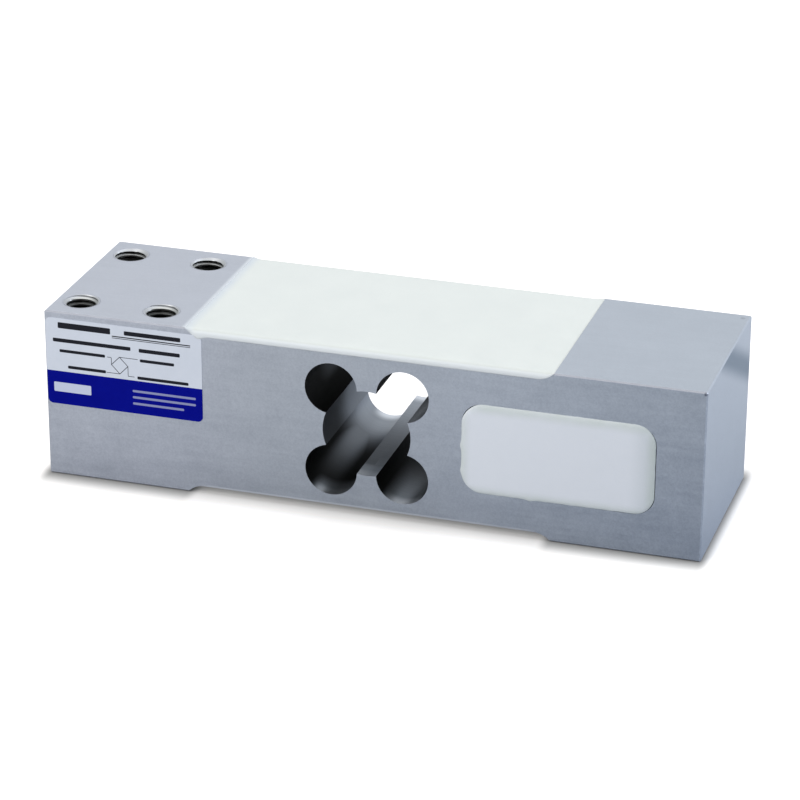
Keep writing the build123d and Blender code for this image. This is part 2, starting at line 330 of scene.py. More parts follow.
# %% Group: rounded field
rounded_field, given, result = new_group(
    "rounded_field", ["Mask", "Distance"], Across=0.0, Up=0.0, Centre_Across=0.0, Centre_Up=0.0,
    Half_Length=10 * MM, Half_Height=5 * MM, Corner=1 * MM, Softness=0.05 * MM,
)


def beyond_core(place_on_axis, centre, half, corner):
    return minus(absolute(minus(place_on_axis, centre)), minus(half, corner))


beyond_x = beyond_core(given["Across"], given["Centre Across"], given["Half Length"], given["Corner"])
beyond_z = beyond_core(given["Up"], given["Centre Up"], given["Half Height"], given["Corner"])
outer_x = largest(beyond_x, 0.0)
outer_z = largest(beyond_z, 0.0)
outer = maths("SQRT", maths("MULTIPLY_ADD", outer_x, outer_x, times(outer_z, outer_z)))
inner = maths("MINIMUM", largest(beyond_x, beyond_z), 0.0)
distance = minus(plus(outer, inner), given["Corner"])
feed(result["Distance"], distance)
feed(result["Mask"], soft_step(distance, given["Softness"], 0.0))
report(rounded_field)

# %% [markdown]
# Worn edges. Handling rubs a block bright along its edges. For a box no edge detection is
# needed: at an edge two of the three distances to the faces are small at once, so the
# middle one of the three is the distance to the nearest edge.

# %% Group: worn edges
worn_edges, given, result = new_group("worn_edges", ["Mask"], Vector=None, Half_Size=None, Width=0.5 * MM)
folded = place(worn_edges, "ShaderNodeVectorMath", operation="ABSOLUTE")
feed(folded.inputs[0], given["Vector"])
to_face = place(worn_edges, "ShaderNodeVectorMath", operation="SUBTRACT")
feed(to_face.inputs[0], given["Half Size"])
feed(to_face.inputs[1], folded.outputs[0])
faces = split(to_face.outputs[0])
low_pair = maths("MINIMUM", faces["X"], faces["Y"])
high_pair = largest(faces["X"], faces["Y"])
middle = largest(low_pair, maths("MINIMUM", high_pair, faces["Z"]))
patchy = stretched_noise(given["Vector"], 420.0, detail=3.0)
feed(result["Mask"], times(soft_step(middle, given["Width"], 0.0), soft_step(patchy, 0.35, 0.65)))
report(worn_edges)

# %% [markdown]
# Nicks. A dent from a knock is a small ball-shaped mask round one point of the surface.

# %% Group: nick
nick, given, result = new_group("nick", ["Mask"], Vector=None, Place=None, Radius=0.4 * MM)
away = place(nick, "ShaderNodeVectorMath", operation="DISTANCE")
feed(away.inputs[0], given["Vector"])
feed(away.inputs[1], given["Place"])
feed(result["Mask"], soft_step(away.outputs["Value"], given["Radius"], times(given["Radius"], 0.4)))
report(nick)

# %% [markdown]
# Each finish starts from one Principled BSDF. What is the same all over the surface, such
# as metallic or the depth of scattering, is set on its sockets directly.

# %% Start of a finish


def new_finish(name, **plain):
    material = bpy.data.materials.new(name)
    material.use_nodes = True
    tree = material.node_tree
    shader = tree.nodes["Principled BSDF"]
    for label, value in plain.items():
        shader.inputs[label.replace("_", " ")].default_value = value
    where = place(tree, "ShaderNodeTexCoord").outputs["Object"]
    return material, shader, where, split(where)


def facing_of(shader):
    # The direction that the surface faces, as X, Y and Z from -1 to 1.
    return split(place(shader.id_data, "ShaderNodeNewGeometry").outputs["Normal"])


def relief(shader, height, depth, strength):
    # The height, from 0 to 1, becomes this depth in metres on the surface.
    bump = place(shader.id_data, "ShaderNodeBump")
    for label, source in (("Strength", strength), ("Distance", depth), ("Height", height)):
        feed(bump.inputs[label], source)
    feed(shader.inputs["Normal"], bump.outputs["Normal"])


def dress(material, *node_names):
    for name in node_names:
        for slot in nodes[name].material_slots:
            slot.material = material
    print("dressed", len(node_names), "CAD pieces in", material.name)


print("finishes can be started")

# %% [markdown]
# The aluminium. The outside was milled and belted along the block: a pale, cool grey with
# a soft sheen, fine streaks, a still finer speckle and faint clouds, all of them stronger
# on the front and the rear than on top. Painted shade makes the outside cooler and darker
# towards the fixed end and darker in the middle third of the front, and the narrow bevels
# along the top are painted dark, a painted reflection of another part of the room. The bores
# were drilled and reamed across the block, so they carry rings instead of streaks. Where a
# point lies decides which of the two shows: bore walls lie between the ends of the clover
# and face neither the front nor the rear.

# %% Aluminium: tones of the outside
CLOVER_HALF_LENGTH = 14.25 * MM
CLOVER_HALF_HEIGHT = 15.75 * MM
SHADE_CENTRE_X = -12 * MM
DARK_METAL, PALE_METAL = rgb(0.49, 0.51, 0.565), rgb(0.645, 0.665, 0.72)
# painted shade tints: cooler towards the fixed end, and darker in the middle of the front
COOL_SHADE, MIDDLE_SHADE = rgb(0.91, 0.945, 0.95), rgb(0.92, 0.925, 0.915)
aluminium, shader, where, axis = new_finish("machined_aluminium", Metallic=1.0)
facing = facing_of(shader)
from_middle = minus(axis["Z"], MID_HEIGHT)
across_bore = is_below(absolute(facing["Y"]), 0.5)
in_length = is_below(absolute(axis["X"]), CLOVER_HALF_LENGTH)
in_height = is_below(absolute(from_middle), CLOVER_HALF_HEIGHT)
in_bore = times(across_bore, in_length, in_height)
grain = use_group(milled_grain, Vector=where, Streak_Scale=900.0)
speckle = soft_step(stretched_noise(where, 3000.0, detail=1.0), 0.3, 0.7)
cloud = cloudiness(where, 7 * MM, 0.7)
mixed_tone = plus(times(grain["Tone"], 0.35), times(speckle, 0.35), times(cloud, 0.3))
brushed = scaled(absolute(facing["Y"]), 0.35, 1.0)
outside_tone = maths("MULTIPLY_ADD", minus(mixed_tone, 0.5), brushed, 0.5)
outside = blend_colours(outside_tone, DARK_METAL, PALE_METAL)
# painted shade: the outside is painted cooler and darker towards the fixed end
towards_fixed_end = soft_step(axis["X"], -HALF_LENGTH, HALF_LENGTH)
outside = blend_colours(towards_fixed_end, outside, COOL_SHADE, mode="MULTIPLY")
# painted shade: the front is painted darker in its middle third
shaded_middle = soft_step(absolute(minus(axis["X"], SHADE_CENTRE_X)), 40 * MM, 5 * MM)
shaded_front_middle = times(shaded_middle, is_below(facing["Y"], -0.9))
outside = blend_colours(shaded_front_middle, outside, MIDDLE_SHADE, mode="MULTIPLY")
# painted reflection: the bevels along the top are painted dark
bevelled = soft_step(absolute(times(facing["Y"], facing["Z"])), 0.2, 0.4)
outside = blend_colours(bevelled, outside, rgb(0.38, 0.39, 0.43))
print("bore walls told apart within", CLOVER_HALF_LENGTH / MM, "mm of the middle")

# %% [markdown]
# The bores are long and smooth, so each strip of wall mirrors another piece of the room.
# The left half of the clover is lit from behind, with one long streak along the wall that
# leans to the left, the lower bores are lit from the front, and the webs' edge strips,
# between two bores, catch a little of both. A reflection would need the very room of the
# photograph, so the wall's tone follows it instead: daylight is 1 where a strip is fully
# lit and 0 where it is nearly black. Each kind of light is one line, faded along the bore.

# %% Aluminium: daylight in the bores
STRIP_HALF_WIDTH = 2.2 * MM
STRIP_HALF_HEIGHT = 4.0 * MM
NEARLY_BLACK = rgb(0.005, 0.005, 0.0045)


def fading(dark_end, lit_end):
    # Along the bore, in millimetres from the block's middle plane.
    return soft_step(axis["Y"], dark_end * MM, lit_end * MM)


def turned_to(side, low, high):
    return soft_step(facing[side], low, high)


left_side = is_below(axis["X"], 0.0)
low_side = is_below(from_middle, 0.0)
low_left = times(left_side, low_side)
high_left = times(soft_step(from_middle, 3.9 * MM, 4.1 * MM), soft_step(axis["X"], -1.5 * MM, -3 * MM))
from_rear = times(fading(-1, 17), scaled(high_left, 0.83, 0.1))
leaning = maths("MULTIPLY_ADD", facing["X"], 0.56, times(facing["Z"], 0.83))
streak = times(soft_step(leaning, 0.76, 0.99), fading(-20.5, 8), low_left, 0.58)
from_right_front = times(fading(4, -26), scaled(left_side, 0.9, 0.0))
from_left_front = times(fading(-14, FRONT_Y / MM), low_left)
from_front = times(largest(from_right_front, from_left_front), turned_to("Z", 0.58, 0.94))
side_strip = times(is_below(absolute(from_middle), STRIP_HALF_HEIGHT), turned_to("X", 0.5, 0.6))
side_light = times(side_strip, scaled(fading(-14, -3), 0.22, 0.77))
low_strip = times(is_below(absolute(axis["X"]), STRIP_HALF_WIDTH), turned_to("Z", 0.5, 0.6))
low_light = times(low_strip, largest(scaled(fading(-8, 22), 0.5, 0.9), fading(-13, -19)))
glow = times(turned_to("X", 0.72, 0.92), fading(-14, -6), high_left, 0.2)
daylight = largest(from_rear, streak, from_front, side_light, low_light, glow)
bore_rings = use_group(turned_rings, Depth=axis["Y"], Ring_Scale=2200.0)["Height"]
bore_wall = blend_colours(bore_rings, rgb(0.33, 0.36, 0.40), rgb(0.43, 0.46, 0.51))
bore_wall = blend_colours(daylight, NEARLY_BLACK, bore_wall)
# painted highlight: a bright glint on the lower lips of the bores near both ends
near_ends = soft_step(absolute(axis["Y"]), 18.8 * MM, 22.0 * MM)
lip_glint = times(near_ends, turned_to("Z", 0.7, 0.97), low_side)
bore_wall = blend_colours(lip_glint, bore_wall, rgb(0.78, 0.81, 0.86))
colour = blend_colours(in_bore, outside, bore_wall)
print("daylight set for the walls of 5 bores")

# %% [markdown]
# A bright ring round each mouth is partly deburring and partly a painted highlight, and
# the bore wall inside is painted nearly black, a painted shade. The holes repeat in both
# directions, so folding the plane twice puts all eight on one spot. The load end is tapped
# from the top and the fixed end from below, so the rings show on those faces only.

# %% Aluminium: mouths of the tapped holes
HOLE_PATTERN_X = 59.5 * MM
HOLE_HALF_PITCH_X = 9.5 * MM
HOLE_HALF_PITCH_Y = 15.0 * MM
HOLE_RADIUS = 4.0 * MM


def distance_from_hole(axis):
    off_x = minus(absolute(minus(absolute(axis["X"]), HOLE_PATTERN_X)), HOLE_HALF_PITCH_X)
    off_y = minus(absolute(axis["Y"]), HOLE_HALF_PITCH_Y)
    return maths("SQRT", maths("MULTIPLY_ADD", off_x, off_x, times(off_y, off_y)))


from_hole = distance_from_hole(axis)
tapped_side = is_below(times(axis["X"], from_middle), 0.0)
near_face = is_above(absolute(from_middle), MID_HEIGHT - 0.6 * MM)
# partly painted highlight: the mouth ring, partly deburring
near_mouth = soft_step(from_hole, HOLE_RADIUS + 0.5 * MM, HOLE_RADIUS + 0.1 * MM)
mouth = times(near_mouth, tapped_side, near_face)
# painted shade: the wall of each tapped bore
painted_bore_shade = times(is_below(from_hole, HOLE_RADIUS + 0.04 * MM), tapped_side)
print("mouths found for 8 holes")

# %% [markdown]
# Three more things brighten the block. Its edges are rubbed. Along the front, the edge of
# the recess below is painted as one thin highlight. And at the load end a film of silicone
# was wiped off the top face and left a pale smear beside the recess, which spares the
# bevels. The wall of each tapped bore is painted nearly black, a painted shade. Two knocks
# at the fixed end are the only other dark marks, one at the corner and a fainter one at the
# rear. All of these are masks over the tones, so the order of the blends counts.

# %% Aluminium: worn edges, painted highlight, smear, painted shade and nicks
centred = place(aluminium.node_tree, "ShaderNodeCombineXYZ")
for label, source in (("X", axis["X"]), ("Y", axis["Y"]), ("Z", from_middle)):
    feed(centred.inputs[label], source)
block_half_size = (HALF_LENGTH, HALF_WIDTH, MID_HEIGHT)
edge = use_group(worn_edges, Vector=centred.outputs[0], Half_Size=block_half_size, Width=0.55 * MM)["Mask"]
along_block = absolute(axis["X"])
# painted highlight: one thin bright line along the front edge of the lower recess
recess_edge_highlight = times(soft_step(along_block, 39 * MM, 36 * MM), soft_step(axis["Z"], 2.25 * MM, 2.05 * MM))
# rubbed edges are wear, while the recess line and the mouth rings are partly painted highlight
wear_and_highlight = largest(times(mouth, 0.04), times(edge, 0.12), recess_edge_highlight)
colour = blend_colours(wear_and_highlight, colour, rgb(0.70, 0.72, 0.76))
beside_recess = soft_step(along_block, 42.8 * MM, 41.8 * MM)
on_top = times(is_above(facing["Z"], 0.5), is_above(axis["Z"], HEIGHT - 0.5 * MM))
flat_load_end = maths("SUBTRACT", left_side, bevelled, clamp=True)
colour = blend_colours(times(beside_recess, on_top, flat_load_end), colour, rgb(0.78, 0.81, 0.845))
# painted shade: the tapped bore walls are painted nearly black
colour = blend_colours(painted_bore_shade, colour, rgb(0.06, 0.06, 0.05))
corner = (HALF_LENGTH - 0.5 * MM, FRONT_Y + 0.3 * MM, HEIGHT - 0.5 * MM)
rear_spot = (HALF_LENGTH - 1.6 * MM, HALF_WIDTH - 2.2 * MM, HEIGHT)
corner_nick = use_group(nick, Vector=where, Place=corner, Radius=0.55 * MM)["Mask"]
rear_nick = use_group(nick, Vector=where, Place=rear_spot, Radius=0.8 * MM)["Mask"]
knocks = largest(corner_nick, times(rear_nick, 0.25))
colour = blend_colours(knocks, colour, rgb(0.10, 0.11, 0.15))
print("mouth rings, edges, a smear and 2 nicks added to", aluminium.name)

# %% [markdown]
# The end face carries one soft, darker band, a painted reflection, that runs aslant from
# its top edge to its rear edge. It is a line with a wide soft step on both sides, shown on
# that face alone.

# %% Aluminium: painted reflection on the end face
BAND_START_Y = -3.0 * MM
BAND_SLOPE = (0.44, 0.898)
along = times(minus(axis["Y"], BAND_START_Y), BAND_SLOPE[0])
below = times(minus(axis["Z"], HEIGHT), BAND_SLOPE[1])
# painted reflection: a soft dark band across the end face
in_band = soft_step(absolute(plus(along, below)), 4.6 * MM, 0.6 * MM)
painted_reflection = times(in_band, is_above(axis["X"], HALF_LENGTH - 0.05 * MM), 0.96)
feed(shader.inputs["Base Color"], blend_colours(painted_reflection, colour, rgb(0.23, 0.28, 0.34)))
print("tarnish band starts", BAND_START_Y / MM, "mm from the middle of the end face")

# %% [markdown]
# Roughness and relief come last. The streaks are only about a hundredth of a millimetre
# deep, but light grazes them, so they matter more than the colour. In the bores the lit
# strips are the smoother ones.

# %% Aluminium: sheen and relief
rough_outside = scaled(outside_tone, 0.40, 0.56)
rough_bore = scaled(daylight, 0.62, 0.36)
feed(shader.inputs["Roughness"], blend_values(in_bore, rough_outside, rough_bore))
dented = minus(blend_values(in_bore, grain["Height"], bore_rings), times(knocks, 2.0))
relief(shader, dented, 0.012 * MM, 0.6)
dress(aluminium, "flexure_block")

# %% [markdown]
# The threads. CAD bores the eight holes to the thread's full diameter and leaves the
# thread out, because a real helix is heavy for a solid. Here it is one strip wound up the
# wall of each hole: the profile of one pitch, groove, flank, crest, flank and groove, is
# carried round in small steps and rises by one pitch a turn. A countersink bevels the
# mouth, so no point of the strip may lie inside its cone, and the first turns run out on
# the bevel as they do on real metal. Mesh code gives this directly, with no modifier.

# %% Thread mesh
THREAD_PITCH = 1.25 * MM
THREAD_TURNS = 12
CREST_RADIUS = 3.34 * MM
GROOVE_RADIUS = HOLE_RADIUS - 0.03 * MM
BEVEL_RADIUS = HOLE_RADIUS - 0.01 * MM
LIP_RADIUS = HOLE_RADIUS + 0.17 * MM
CREST_HALF = 0.15 * MM
FOOT_HALF = 0.55 * MM
STEPS_A_TURN = 64


def thread_profile():
    # Pairs of radius and height over one pitch, from the middle of a groove to the next.
    profile = [(GROOVE_RADIUS, -THREAD_PITCH / 2)]
    for step in range(5):
        share = step / 4
        height = -FOOT_HALF + (FOOT_HALF - CREST_HALF) * share
        profile.append((GROOVE_RADIUS + (CREST_RADIUS - GROOVE_RADIUS) * share, height))
    profile.append((CREST_RADIUS, 0.0))
    return profile + [(radius, -height) for radius, height in reversed(profile[:-1])]


def wind_thread(first_crest):
    # On the rear side of the hole, a quarter turn in, one crest lies first_crest deep.
    profile = thread_profile()
    points = []
    polygons = []
    for step in range((THREAD_TURNS + 1) * STEPS_A_TURN + 1):
        angle = 2 * pi * step / STEPS_A_TURN
        rise = THREAD_PITCH * (step / STEPS_A_TURN - 0.25 - THREAD_TURNS + 1) - first_crest
        for radius, height in profile:
            depth = min(rise + height, -0.02 * MM)
            reach = max(radius, BEVEL_RADIUS + depth)
            points.append((reach * cos(angle), reach * sin(angle), depth))
    width = len(profile)
    for first in range(0, len(points) - width, width):
        for side in range(first, first + width - 1):
            if min(points[side][2], points[side + width][2]) < -0.02 * MM:
                polygons.append((side, side + width, side + width + 1, side + 1))
    add_lip(points, polygons)
    return points, polygons


def add_lip(points, polygons):
    # A flat ring from the bevel out to the sound metal of the face.
    start = len(points)
    for step in range(STEPS_A_TURN):
        angle = 2 * pi * step / STEPS_A_TURN
        for reach, depth in ((BEVEL_RADIUS - 0.02 * MM, -0.02 * MM), (LIP_RADIUS, -0.002 * MM)):
            points.append((reach * cos(angle), reach * sin(angle), depth))
    for step in range(STEPS_A_TURN):
        inner = start + 2 * step
        after = start + 2 * ((step + 1) % STEPS_A_TURN)
        polygons.append((inner, inner + 1, after + 1, after))


def mesh_piece(name, points, polygons, material, slot):
    mesh = bpy.data.meshes.new(name)
    mesh.from_pydata(points, [], polygons)
    mesh.update()
    mesh.materials.append(material)
    piece = bpy.data.objects.new(name, mesh)
    bpy.context.scene.collection.objects.link(piece)
    for polygon in mesh.polygons:
        polygon.use_smooth = True
    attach(piece, "root")
    return piece


print("one thread has", len(wind_thread(1 * MM)[1]), "faces")

# %% [markdown]
# A fresh thread is cut by the tap's polished flanks, so it is brighter and smoother than
# the milled outside, with fine rings round the hole's axis. Its grooves and its depth are
# nearly black, because little light gets there. The countersunk bevel at the mouth is a
# pale, rougher cut, and ends in a thin lip in the tone of the block's face.

# %% Tapped aluminium
GROOVE_BLACK = rgb(0.03, 0.03, 0.028)
tapped, shader, where, axis = new_finish("tapped_aluminium", Metallic=1.0)
tap_marks = use_group(turned_rings, Depth=axis["Z"], Ring_Scale=5200.0)["Height"]
smudge = cloudiness(where, 2.5 * MM, 0.8)
tone = maths("MULTIPLY_ADD", tap_marks, 0.5, times(smudge, 0.5))
flank = blend_colours(tone, rgb(0.36, 0.365, 0.36), rgb(0.50, 0.505, 0.49))
below_face = minus(MID_HEIGHT, absolute(minus(axis["Z"], MID_HEIGHT)))
from_axis = distance_from_hole(axis)
in_groove = soft_step(from_axis, 3.74 * MM, 3.92 * MM)
deep_down = soft_step(below_face, 1.9 * MM, 2.6 * MM)
flank = blend_colours(largest(in_groove, deep_down), flank, GROOVE_BLACK)
on_bevel = soft_step(below_face, 0.7 * MM, 0.4 * MM)
on_lip = soft_step(from_axis, 3.95 * MM, 4.02 * MM)
bevel = blend_colours(on_lip, rgb(0.58, 0.59, 0.60), rgb(0.55, 0.57, 0.625))
feed(shader.inputs["Base Color"], blend_colours(on_bevel, flank, bevel))
feed(shader.inputs["Roughness"], maths("MULTIPLY_ADD", on_bevel, 0.16, scaled(smudge, 0.28, 0.40)))
relief(shader, tap_marks, 0.01 * MM, 0.5)
print("threads are finished in", tapped.name)

# %% [markdown]
# The threads go in last. The four at the load end open to the top and the four at the
# fixed end open downwards, as in the CAD pattern. The rear pair starts at another height
# than the front pair, since no two holes are tapped alike.

# %% Threads in the eight holes


def tap_hole(name, x, y, mouth_z, upwards, first_crest):
    # Upwards the hole opens to the top. Otherwise the thread is turned half round X.
    side = 1 if upwards else -1
    wound, polygons = wind_thread(first_crest)
    points = [(x + px, y + side * py, mouth_z + side * pz) for px, py, pz in wound]
    piece = mesh_piece(name, points, polygons, tapped, "machined_aluminium")
    piece.data.set_sharp_from_angle(angle=radians(35))


for row, side_y, first_crest in (("front", -1, 1.0 * MM), ("rear", 1, 0.33 * MM)):
    for column, side_x in (("outer", -1), ("inner", 1)):
        y = side_y * HOLE_HALF_PITCH_Y
        load_x = -HOLE_PATTERN_X + side_x * HOLE_HALF_PITCH_X
        tap_hole(f"load_end_thread_{row}_{column}", load_x, y, HEIGHT, True, first_crest)
        tap_hole(f"fixed_end_thread_{row}_{column}", -load_x, y, 0.0, False, first_crest)
print("threads cut in 8 holes")

# %% [markdown]
# The silicone in the recesses is poured and scraped off flush with a blade. It ends in a
# thin edge where the milled recess runs out in an arc, rounds off along the front and the
# rear, and dips and swells by a few hundredths of a millimetre. At the load end's front
# corner it has run over the edge a little. The pour in the underside is thinner and stays
# back from the front and the rear. A CAD bar can't do that, so it is sculpted: for each
# step along the block one closed section is drawn, from the arc's height, the pour's
# height and the noise, and the sections are skinned.

# %% Shape of a poured recess
RECESS_HALF_FLOOR = 37.95 * MM
RECESS_DEPTH = 1.75 * MM
RECESS_ARC = 5.0 * MM
SPILL_X = -38.7 * MM
SPILL_WIDTH = 1.3 * MM
FOOT = 0.06 * MM
BEND_STEPS = 6
SPAN_STEPS = 48


def floor_rise(x):
    # How far the recess floor has climbed its end arc at this place along the block.
    past = abs(x) - RECESS_HALF_FLOOR
    if past <= 0:
        return 0.0
    return RECESS_ARC - sqrt(RECESS_ARC**2 - min(past, RECESS_ARC) ** 2)


def ripple(x, y, size, seed):
    return noise.noise(Vector((x / size, y / size, seed)))


def pour_section(x, fill, shoulder, seed, corner_spill, set_back):
    # Pairs of y and depth above the recess floor, from the front foot over to the rear foot.
    foot = floor_rise(x)
    room = max(fill - foot, 0.01 * MM)
    bend = min(shoulder, 0.8 * room)
    spill = corner_spill * exp(-(((x - SPILL_X) / SPILL_WIDTH) ** 2))
    front = FRONT_Y + set_back - 0.28 * spill
    rear = HALF_WIDTH - set_back
    low = foot - abs(0.05 * MM * ripple(x, 0.0, 4 * MM, seed)) - spill
    shin = foot + room - bend
    toe = min(low + 0.05 * MM, shin)
    section = [(front + FOOT, low), (front, toe), (front, 0.5 * (toe + shin)), (front, shin)]
    for step in range(1, BEND_STEPS + 1):
        angle = pi / 2 * step / BEND_STEPS
        section.append((front + bend * (1 - cos(angle)), shin + bend * sin(angle)))
    span = rear - bend - (front + bend)
    for step in range(1, SPAN_STEPS):
        y = front + bend + span * step / SPAN_STEPS
        meniscus = 0.02 * MM * (abs(y) / HALF_WIDTH) ** 6
        dip = 0.035 * MM * (0.5 + 0.5 * ripple(x, y, 9 * MM, seed + 5))
        dip += 0.012 * MM * ripple(x, y, 2.2 * MM, seed + 9)
        section.append((y, foot + room - min(max(dip - meniscus, 0.0), 0.6 * room)))
    for step in range(BEND_STEPS):
        angle = pi / 2 * (1 - step / BEND_STEPS)
        section.append((rear - bend * (1 - cos(angle)), shin + bend * sin(angle)))
    section += [(rear, foot + share * (room - bend)) for share in (0.5, 0.3)]
    return section + [(rear - FOOT, foot)]


def pour_recess(name, node, fill, shoulder, floor_z, outwards, material, seed, corner_spill=0.0, set_back=0.0):
    # outwards is 1 for the top recess and -1 for the one in the underside.
    end = RECESS_HALF_FLOOR + sqrt(RECESS_ARC**2 - (RECESS_ARC - fill + 0.02 * MM) ** 2)
    count = 190
    # Steps are closer together near the ends, where the floor climbs.
    places = [-end * cos(pi * step / count) for step in range(count + 1)]
    sections = [pour_section(x, fill, shoulder, seed, corner_spill, set_back) for x in places]
    width = len(sections[0])
    points = []
    for x, section in zip(places, sections):
        points += [(x, y, floor_z + outwards * depth) for y, depth in section]
    polygons = []
    for step in range(count):
        for side in range(width):
            first = step * width + side
            other = step * width + (side + 1) % width
            quad = (first, other, other + width, first + width)
            polygons.append(quad if outwards < 0 else quad[::-1])
    start_cap = tuple(range(width))
    end_cap = tuple(count * width + side for side in range(width))
    polygons.append(start_cap if outwards > 0 else start_cap[::-1])
    polygons.append(end_cap[::-1] if outwards > 0 else end_cap)
    piece = mesh_piece(name, points, polygons, material, "white_sealant")
    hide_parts(node)
    print(name, "is", round(2 * end / MM, 2), "mm long with", len(polygons), "faces")


print("the recess floor climbs", round(floor_rise(41 * MM) / MM, 2), "mm at 41 mm from the middle")

# %% [markdown]
# White silicone. It is soft and a little see-through: light goes in, scatters within about
# a millimetre and comes out, which fills the shadows of its small dips. So it gets some
# subsurface scattering, a half-matt skin, faint clouds and a few specks of dust. Where it
# faces the front it is painted paler than its top, painted light on its front edges. Its rim
# differs in patches: bluish where the silicone runs out thin over metal, a trace greener
# where it rolls over thickly. From shade_from on towards the fixed end it is painted
# darker, a painted shade.

# %% Silicone finish
RIM_WIDTH = 2.6 * MM


def silicone(name, tones, up_axis, centre, half_length, half_height, rim_strength, shade_from):
    shade, body, side, rim_tone = tones
    material, shader, where, axis = new_finish(
        name, Subsurface_Weight=0.25, Subsurface_Radius=(1.0, 1.0, 1.0), Subsurface_Scale=0.8 * MM, IOR=1.41
    )
    cloud = cloudiness(where, 9 * MM, 0.6)
    dust = use_group(specks, Vector=where, Spacing=2.6 * MM, Share=0.16, Radius=0.07)["Mask"]
    outline = use_group(
        rounded_field, Across=axis["X"], Up=axis[up_axis], Centre_Across=centre[0], Centre_Up=centre[1],
        Half_Length=half_length, Half_Height=half_height, Corner=0.5 * MM,
    )["Distance"]
    colour = blend_colours(cloud, shade, body)
    # painted light: where the silicone faces the front it is painted paler
    colour = blend_colours(soft_step(facing_of(shader)["Y"], -0.6, -0.97), colour, side)
    patchy = scaled(cloudiness(where, 16 * MM, 1.0), 0.55 * rim_strength, rim_strength)
    colour = blend_colours(times(soft_step(outline, -RIM_WIDTH, 0.0), patchy), colour, rim_tone)
    # painted shade: the silicone is painted darker towards the fixed end
    painted_far_shade = soft_step(axis["X"], shade_from, shade_from + 6 * MM)
    colour = blend_colours(painted_far_shade, colour, rgb(0.84, 0.86, 0.85), mode="MULTIPLY")
    colour = blend_colours(times(dust, 0.35), colour, rgb(0.45, 0.45, 0.44))
    feed(shader.inputs["Base Color"], colour)
    feed(shader.inputs["Roughness"], scaled(cloud, 0.46, 0.6))
    swell = times(stretched_noise(where, 160.0), 0.85)
    skin = times(stretched_noise(where, 1500.0), 0.15)
    relief(shader, plus(swell, skin, times(dust, 0.3)), 0.06 * MM, 0.5)
    return material


# the third tone is the painted light on the silicone's front edges
RECESS_TONES = (
    rgb(0.612, 0.632, 0.603), rgb(0.636, 0.655, 0.622), rgb(0.74, 0.765, 0.77), rgb(0.52, 0.56, 0.60)
)
recess_silicone = silicone(
    "recess_silicone", RECESS_TONES, "Y", centre=(3.0 * MM, 0.0), half_length=44.7 * MM, half_height=60 * MM,
    rim_strength=1.0, shade_from=40 * MM,
)
print("silicone mixed:", recess_silicone.name)

# %% [markdown]
# Now both recesses are poured, each from its floor outwards. The top one is full to the
# brim and spills at one corner. The lower one is half full and set back from both sides.

# %% Pour the two recesses
pour_recess(
    "poured_top_sealant", "top_sealant", fill=1.72 * MM, shoulder=1.1 * MM, floor_z=HEIGHT - RECESS_DEPTH,
    outwards=1, material=recess_silicone, seed=3.0, corner_spill=0.55 * MM,
)
pour_recess(
    "poured_bottom_sealant", "bottom_sealant", fill=0.8 * MM, shoulder=0.75 * MM, floor_z=RECESS_DEPTH,
    outwards=-1, material=recess_silicone, seed=11.0, set_back=1.4 * MM,
)

# %% [markdown]
# The pocket's silicone is squeezed in from the front and wiped once. It stands a hair
# proud of the metal, its rim rolls over, it has crept over the edge in three small places
# and stayed back in a fourth, and at the right it has shrunk away from the wall and leaves
# a dark hairline. Its mesh is a stack of rings: each ring is the pocket's outline, moved in
# by a little and forward by a little, with those places added as gentle bumps along it.

# %% Outline of the pocket
pocket_low, pocket_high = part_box("pocket_sealant")
POCKET_X = (pocket_low.x + pocket_high.x) / 2
POCKET_HALF_LENGTH = (pocket_high.x - pocket_low.x) / 2
POCKET_HALF_HEIGHT = (pocket_high.z - pocket_low.z) / 2
POCKET_CORNER = 4.75 * MM
POCKET_FLOOR_Y = pocket_high.y
CROWN_Y = pocket_low.y


def rounded_outline(half_length, half_height, corner, spacing):
    # Points and outward directions round a rounded rectangle, from its lower right side.
    outline = []
    straight_x = half_length - corner
    straight_z = half_height - corner
    for quarter in range(4):
        angle = quarter * pi / 2
        centre_x = straight_x if quarter in (0, 3) else -straight_x
        centre_z = straight_z if quarter in (0, 1) else -straight_z
        arc_steps = int(corner * pi / 2 / spacing)
        for step in range(arc_steps + 1):
            turn = angle + pi / 2 * step / arc_steps
            outline.append((centre_x + corner * cos(turn), centre_z + corner * sin(turn), cos(turn), sin(turn)))
        run = 2 * (straight_x if quarter in (0, 2) else straight_z)
        run_steps = int(run / spacing)
        end_x, end_z, out_x, out_z = outline[-1]
        along_x, along_z = -out_z, out_x
        for step in range(1, run_steps):
            moved = run * step / run_steps
            outline.append((end_x + along_x * moved, end_z + along_z * moved, out_x, out_z))
    return outline


pocket_outline = rounded_outline(POCKET_HALF_LENGTH, POCKET_HALF_HEIGHT, POCKET_CORNER, 0.35 * MM)
print("pocket outline has", len(pocket_outline), "points")

# %% [markdown]
# The sculpting itself. The table of creeps holds where each one is, from the pocket's
# middle, how far it reaches over the edge, or back from it where that is negative, and how
# wide it is. The rings near the rim follow it, and the inner ones lose it step by step.

# %% Sculpt the pocket's silicone
CREEPS = (
    (-21.5 * MM, 0.4 * MM, 0.34 * MM, 0.9 * MM),
    (-21.5 * MM, -5.6 * MM, 0.24 * MM, 0.7 * MM),
    (-6.0 * MM, -10.5 * MM, 0.30 * MM, 1.0 * MM),
    (-20.0 * MM, 9.0 * MM, -0.22 * MM, 2.2 * MM),
)
SHRINKAGE = 0.17 * MM
INSETS = (0.0, 0.04, 0.1, 0.2, 0.35, 0.6, 1.0, 1.6, 2.4, 3.4)
INNER_SHARES = (0.82, 0.7, 0.56, 0.42, 0.28, 0.14)
DEEP_INSET = 5 * MM


